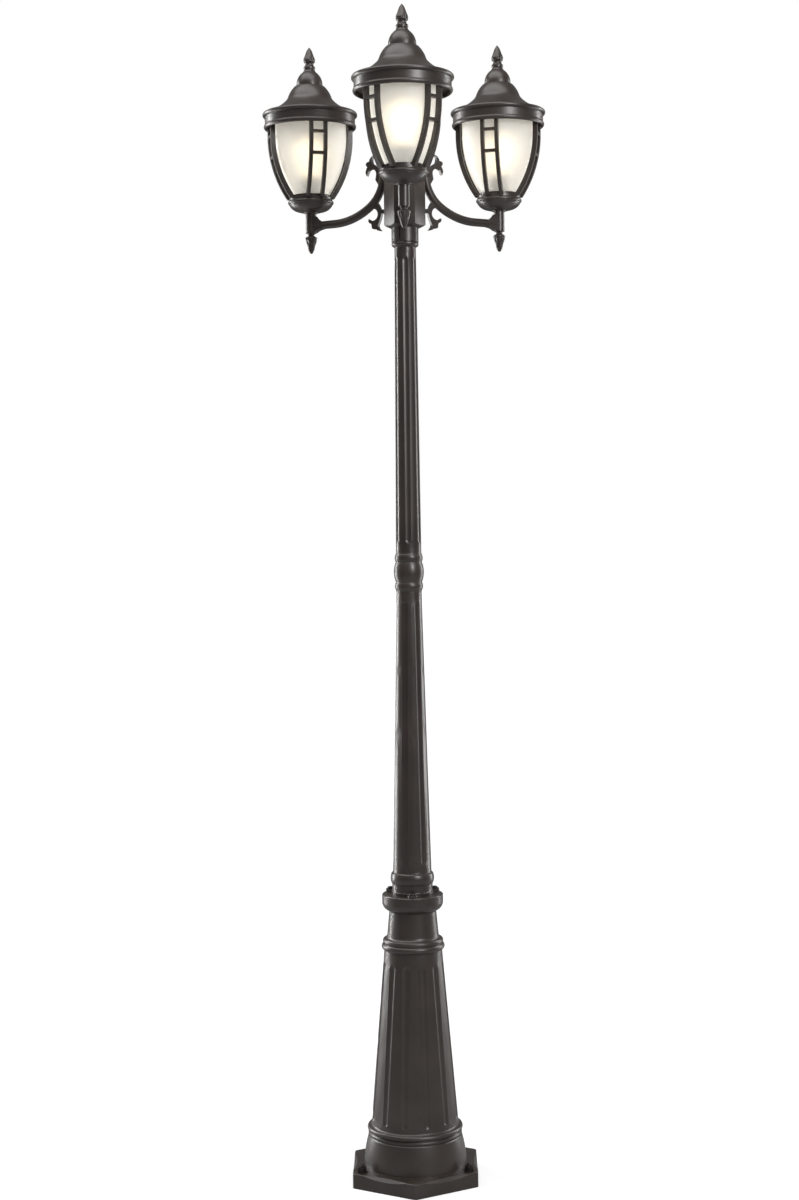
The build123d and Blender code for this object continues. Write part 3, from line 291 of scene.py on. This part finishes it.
def moulded(name, dark, light, roughness, grain_mm):
    """Moulded plastic or rubber: a fine even grain from its mould."""
    material, tree, shader = finish(name)
    place = add(tree, "TexCoord")
    grain = add(tree, "TexNoise", Vector=(place, "Object"), Scale=MM_PER_M / grain_mm,
                Detail=3.0)
    tone = add(tree, "MixRGB", Fac=(grain, "Fac"), Color1=linear(dark),
               Color2=linear(light))
    skin = add(tree, "Bump", Height=(grain, "Fac"), Strength=MOULD_BUMP,
               Distance=MOULD_DEPTH)
    tree.links.new(tone.outputs["Color"], shader.inputs["Base Color"])
    tree.links.new(skin.outputs["Normal"], shader.inputs["Normal"])
    shader.inputs["Roughness"].default_value = roughness
    return material


globe_glass = opal_globe()
holder_moulding = moulded("black_thermoset", "#1d1c1b", "#272523",
                          roughness=0.45, grain_mm=0.8)
seal_rubber = moulded("silicone_seal", "#2a2a2a", "#343434", roughness=0.6, grain_mm=0.6)
terminal_moulding = moulded("cream_terminal_plastic", "#d9d3c2", "#e4dfd1",
                            roughness=0.4, grain_mm=0.7)
cap_nickel = steel("rolled_nickel_cap", "#b8b4aa", "#cfccc4",
                   metallic=1.0, roughness=0.28, cloud_mm=5.0)
dress(terminal_moulding, "terminal_block")
for side in SIDES:
    dress(globe_glass, f"bulb_{side}")
    dress(cap_nickel, f"bulb_cap_{side}")
    dress(holder_moulding, f"lamp_holder_{side}")
    dress(seal_rubber, f"glass_seal_{side}")
print("lamps dressed")

# %% [markdown]
# ## Surfaces from numbers
# A turned or cast piece is a radius for every height and every angle round its axis.
# Worked out as one grid, it can carry leaves or a thread that a plain turning can't.

# %% A closed skin from a grid of points
def skin_piece(name, grid, material, body):
    """A mesh from a (rows, columns, 3) grid: rows climb, columns go round and join up,
    and the first and last rows are closed by a flat face."""
    rows, columns = grid.shape[:2]
    first = np.arange(rows - 1)[:, None] * columns + np.arange(columns)
    beside = np.arange(rows - 1)[:, None] * columns + (np.arange(columns) + 1) % columns
    quads = np.stack([first, beside, beside + columns, first + columns], axis=-1)
    ends = [list(range(columns))[::-1], list(range((rows - 1) * columns, rows * columns))]
    mesh = bpy.data.meshes.new(name)
    mesh.from_pydata(grid.reshape(-1, 3).tolist(), [],
                     quads.reshape(-1, 4).tolist() + ends)
    mesh.shade_smooth()
    mesh.materials.append(material)
    piece = bpy.data.objects.new(name, mesh)
    bpy.context.scene.collection.objects.link(piece)
    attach(piece, body)
    return piece


def round_grid(radius, height, turns, centre):
    """Grid of points: x and y are the centre plus radius times cosine and sine of the
    angle, z is the height. Radius and height are in millimetres, the centre and the
    points in metres."""
    x = centre[0] * MM_PER_M + radius * np.cos(turns)
    y = centre[1] * MM_PER_M + radius * np.sin(turns)
    return np.stack([x, y, np.broadcast_to(height, x.shape)], axis=-1) / MM_PER_M


def smooth(x):
    """Soft step: 0 below 0, 1 above 1, and three x squared less two x cubed between."""
    x = np.clip(x, 0, 1)
    return x * x * (3 - 2 * x)

# %% [markdown]
# ## Leafed finials
# The spear on each roof and the bud under each arm are small castings shaped like a
# closed flower: a row of pointed leaves that hug the bud, and a second row that shows
# between their tips. Each leaf is a pointed arch drawn on the bud's own surface and
# raised by less than a millimetre, with a groove for its midrib.

# %% Leaves round a bud
LEAF_WIDTH = 0.97
LEAF_TAPER = 1.7
LEAF_EDGE = 0.16
MIDRIB_DEPTH = 0.45
MIDRIB_WIDTH = 0.09
LEAF_FOOT_MM = 1.2
ROW_MM = 0.45
COLUMNS = 96


def leaves(angle, along, count, shift, foot, tip):
    """Height from 0 to 1 of a ring of leaves. A leaf's half width is LEAF_WIDTH times 1
    less s to the power LEAF_TAPER, where s runs from 0 at its foot to 1 at its tip; its
    edge is a soft step and its midrib a narrow bell-shaped groove."""
    s = np.clip((along - foot) / (tip - foot), 0, 1)
    across = np.abs((angle / (2 * np.pi) * count + shift) % 1 - 0.5) * 2
    inside = smooth((LEAF_WIDTH * (1 - s ** LEAF_TAPER) - across) / LEAF_EDGE)
    midrib = 1 - MIDRIB_DEPTH * np.exp(-(across / MIDRIB_WIDTH) ** 2)
    return inside * midrib * smooth((along - foot) / LEAF_FOOT_MM) * (along < tip)


def finial_grid(profile, rows_of_leaves, centre, base, direction):
    """A bud on its lantern's axis: its radius follows the (height, radius) profile, and
    each row of leaves adds its relief. direction is 1 for a spear, -1 for a hanging
    bud."""
    along = np.array([p[0] for p in profile], float)
    radius = np.array([p[1] for p in profile], float)
    spans = [np.linspace(a, b, max(int((b - a) / ROW_MM), 2), endpoint=False)
             for a, b in zip(along[:-1], along[1:])]
    steps = np.concatenate(spans + [along[-1:]])
    height, angle = np.meshgrid(steps, np.linspace(0, 2 * np.pi, COLUMNS, endpoint=False),
                                indexing="ij")
    r = np.interp(height, along, radius)
    for count, shift, foot, tip, rise in rows_of_leaves:
        r = r + rise * leaves(angle, height, count, shift, foot, tip)
    grid = round_grid(r, base + direction * height, angle, centre)
    return grid if direction > 0 else grid[::-1]


ROOF_TOP = 2150.0
STEM_FOOT = 1831.6
SPEAR = [(0, 13.0), (1.2, 13.0), (2.4, 12.0), (4.2, 10.6), (5.0, 10.5), (6.2, 11.2),
         (7.5, 11.4), (11.0, 11.4), (12.2, 10.6), (13.4, 8.9), (14.6, 8.4), (17.0, 8.3),
         (18.6, 8.9), (20.8, 10.4), (22.5, 10.7), (26.0, 10.4), (31.0, 8.9), (36.0, 7.3),
         (41.0, 5.5), (45.0, 3.9), (48.0, 2.2), (49.4, 1.1), (49.9, 0.5)]
BUD = [(0, 8.1), (1.0, 8.0), (2.3, 6.1), (4.6, 5.9), (5.6, 7.2), (7.0, 10.0), (8.4, 11.0),
       (10.5, 11.0), (14.0, 9.9), (20.0, 8.2), (27.0, 6.6), (33.0, 5.4), (37.0, 4.0),
       (39.2, 2.6), (39.9, 1.4)]
# Each row of leaves: how many, its turn as a share of a leaf, foot, tip and rise in mm.
SPEAR_LEAVES = [(6, 0.0, 19.0, 37.0, 0.75), (6, 0.5, 24.0, 48.0, 0.55)]
BUD_LEAVES = [(6, 0.25, 7.4, 27.0, 0.8), (6, 0.75, 13.0, 38.5, 0.55)]
for side, centre in lantern_at.items():
    spear = skin_piece(
        f"leafed_spear_{side}",
        finial_grid(SPEAR, SPEAR_LEAVES, centre, ROOF_TOP, 1),
        cast_coat, f"roof_{side}")
    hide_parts(f"roof_finial_{side}")
    bud = skin_piece(
        f"leafed_bud_{side}",
        finial_grid(BUD, BUD_LEAVES, centre, STEM_FOOT, -1),
        cast_coat, "post")
    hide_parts(f"drop_finial_{side}")
print("leafed finials:", len(SIDES) * 2)

# %% [markdown]
# ## Anchor studs
# The foot's nuts run on M10 studs set in the ground, as dark as the nuts. A stud's end
# stands a few millimetres above its nut, with a 1.5 mm pitch thread and a chamfered tip.
# The thread is a V that climbs by one pitch in each turn.

# %% Threaded stud ends
STUD_AZIMUTHS = (90, 210, 330)
STUD_CIRCLE = 0.117
STUD_LOW, STUD_HIGH = 30.1, 42.0
STUD_RADIUS = 5.0
PITCH = 1.5
THREAD_DEPTH = 0.61
TIP_CHAMFER = 1.2
ROWS_PER_PITCH = 10
STUD_COLUMNS = 48


def stud_grid(centre, low, high, major, pitch):
    """A thread: the radius drops from its crest by THREAD_DEPTH pitches times the distance
    from the crest line, which climbs one pitch a turn; the tip is chamfered at 45 degrees.
    All but the centre is in millimetres."""
    rows = np.arange(low, high + 0.01, pitch / ROWS_PER_PITCH)
    turns = np.linspace(0, 2 * np.pi, STUD_COLUMNS, endpoint=False)
    height, angle = np.meshgrid(rows, turns, indexing="ij")
    phase = (height / pitch - angle / (2 * np.pi)) % 1
    r = major - THREAD_DEPTH * pitch * (1 - np.abs(2 * phase - 1))
    r = np.minimum(r, major - TIP_CHAMFER + (high - height))
    return round_grid(r, height, angle, centre)


for i, azimuth in enumerate(STUD_AZIMUTHS):
    a = math.radians(azimuth)
    centre = (STUD_CIRCLE * math.cos(a), STUD_CIRCLE * math.sin(a))
    skin_piece(f"stud_end_{i + 1}",
               stud_grid(centre, STUD_LOW, STUD_HIGH, STUD_RADIUS, PITCH),
               dark_steel, "post")
print("stud ends:", len(STUD_AZIMUTHS))

# %% [markdown]
# ## Camera
# The photograph was taken level, 1.27 m above the ground and 3.76 m from the post, with
# a lens of about 58 mm on a full frame. The horizon isn't in the middle of the frame,
# which a shift of the lens gives, and the post leans about two thirds of a degree in it,
# so the camera rolls by that much.

# %% Camera
ROLL = math.radians(0.66)
CAMERA_AT = (0.019, -3.755, 1.266)
LENS_MM = 58.5
LENS_SHIFT = (-0.0155, -0.0683)
camera_data = bpy.data.cameras.new("camera")
camera = bpy.data.objects.new("camera", camera_data)
bpy.context.scene.collection.objects.link(camera)
camera_data.sensor_width = 36.0
camera_data.lens = LENS_MM
camera_data.shift_x, camera_data.shift_y = LENS_SHIFT
camera.matrix_world = Matrix((
    (math.cos(ROLL), math.sin(ROLL), 0.0, CAMERA_AT[0]),
    (0.0, 0.0, -1.0, CAMERA_AT[1]),
    (-math.sin(ROLL), math.cos(ROLL), 0.0, CAMERA_AT[2]),
    (0.0, 0.0, 0.0, 1.0),
))
bpy.context.scene.camera = camera
print("camera at", [round(v, 3) for v in camera.matrix_world.translation])

# %% [markdown]
# ## Floor, backdrop and light
# A white studio: the world is white to the camera and through the glass, and lights the
# object only faintly. The floor is lifted to white for the camera alone, less near the
# foot, where its shadow stays. Four soft lamps light the object: a tall strip behind each
# side, whose left one is the stronger and draws the bright line down the post's edge, a
# key light in front on the right, and a broad panel overhead.

# %% Floor and world
FLOOR_HALF = 30.0
LIFT_FROM, LIFT_TO = 0.5, 5.0
LIFT_NEAR, LIFT_FAR = 0.66, 1.0
WORLD_LIGHT, WORLD_SEEN = 0.2, 1.0


def studio():
    """A pale floor that keeps the shadow, and a world that is white where it is seen."""
    scene = bpy.context.scene
    scene.view_settings.view_transform = "Standard"
    mesh = bpy.data.meshes.new("floor")
    mesh.from_pydata([(x * FLOOR_HALF, y * FLOOR_HALF, 0)
                      for x, y in ((-1, -1), (1, -1), (1, 1), (-1, 1))],
                     [], [(0, 1, 2, 3)])
    floor = bpy.data.objects.new("floor", mesh)
    scene.collection.objects.link(floor)
    material, tree, shader = finish("pale_studio_floor")
    shader.inputs["Base Color"].default_value = linear("#b0b0b0")
    shader.inputs["Roughness"].default_value = 0.9
    shader.inputs["Emission Color"].default_value = (1, 1, 1, 1)
    place = add(tree, "TexCoord")
    away = add(tree, "VectorMath", {"operation": "LENGTH"}, Vector=(place, "Object"))
    white = add(tree, "MapRange", Value=(away, "Value"), From_Min=LIFT_FROM,
                From_Max=LIFT_TO, To_Min=LIFT_NEAR, To_Max=LIFT_FAR)
    path = add(tree, "LightPath")
    lift = add(tree, "Math", {"operation": "MULTIPLY"})
    tree.links.new(path.outputs["Is Camera Ray"], lift.inputs[0])
    tree.links.new(white.outputs["Result"], lift.inputs[1])
    tree.links.new(lift.outputs["Value"], shader.inputs["Emission Strength"])
    mesh.materials.append(material)

    world = bpy.data.worlds.new("studio")
    world.use_nodes = True
    scene.world = world
    sky = world.node_tree
    sky.nodes.clear()
    path = add(sky, "LightPath")
    seen = add(sky, "Math", {"operation": "MAXIMUM"})
    sky.links.new(path.outputs["Is Camera Ray"], seen.inputs[0])
    sky.links.new(path.outputs["Is Transmission Ray"], seen.inputs[1])
    strength = add(sky, "MapRange", Value=(seen, "Value"), To_Min=WORLD_LIGHT,
                   To_Max=WORLD_SEEN)
    backdrop = add(sky, "Background", Color=(1, 1, 1, 1), Strength=(strength, "Result"))
    add(sky, "OutputWorld", Surface=(backdrop, "Background"))


def soft_lamp(name, place, aim, size, power):
    """A rectangular area lamp at place, turned to aim: its size in metres, its power in
    watts."""
    data = bpy.data.lights.new(name, "AREA")
    data.shape = "RECTANGLE"
    data.size, data.size_y = size
    data.energy = power
    lamp = bpy.data.objects.new(name, data)
    bpy.context.scene.collection.objects.link(lamp)
    lamp.location = place
    toward = Vector(aim) - Vector(place)
    lamp.rotation_euler = toward.to_track_quat("-Z", "Y").to_euler()


studio()
soft_lamp("left_strip", (-2.3, 1.4, 1.4), (0, 0, 1.2), (0.35, 3.0), 70)
soft_lamp("right_strip", (2.4, 1.5, 1.4), (0, 0, 1.2), (0.35, 3.0), 40)
soft_lamp("front_key", (2.0, -3.2, 2.7), (0, 0, 1.6), (0.8, 1.6), 65)
soft_lamp("overhead", (-0.5, -0.9, 4.4), (0, 0, 1.5), (5.6, 2.4), 100)
print("studio lit")
